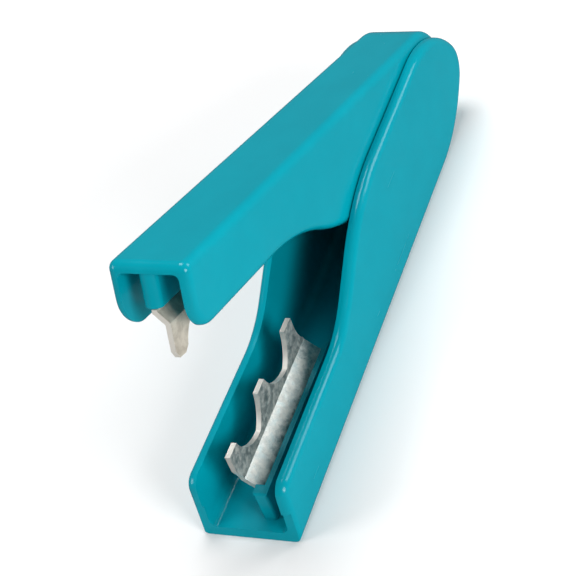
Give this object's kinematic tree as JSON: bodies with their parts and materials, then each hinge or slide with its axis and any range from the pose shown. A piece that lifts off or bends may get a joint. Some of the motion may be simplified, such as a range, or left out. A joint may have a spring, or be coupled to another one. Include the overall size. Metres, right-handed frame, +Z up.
{
  "type": "hinged hand squeeze tool",
  "caption": "Two moulded channel arms on one hinge pin, sprung open; squeezing drives a toothed steel claw plate past a toothed steel anvil plate.",
  "frame": {"origin": "middle of the flat back of the lower arm", "axes": "+X forward from the hinge to the open ends, +Z up from the back of the lower arm to the upper arm, +Y across"},
  "size_m": [0.1789, 0.03, 0.0962],
  "materials": {
    "lower_arm": "glossy teal moulding",
    "upper_arm": "glossy teal moulding",
    "hinge_pin": "turned",
    "anvil_plate": "zinc coated sheet",
    "claw_plate": "zinc coated sheet",
    "return_spring": "drawn wire"
  },
  "bodies": {
    "lower": {"lower_arm": "lower_arm", "anvil_plate": "anvil_plate", "return_spring": "return_spring"},
    "upper": {"upper_arm": "upper_arm", "claw_plate": "claw_plate", "hinge_pin": "hinge_pin"}
  },
  "joints": [
    {"name": "squeeze", "type": "hinge", "parent": "lower", "child": "upper", "pos_m": [-0.0836, 0, 0.022], "axis": [0, 1, 0], "range_deg": [0, 19.5], "stiffness_Nm_per_rad": 0.18, "springref_deg": -68.75, "deforming": ["return_spring"]}
  ]
}
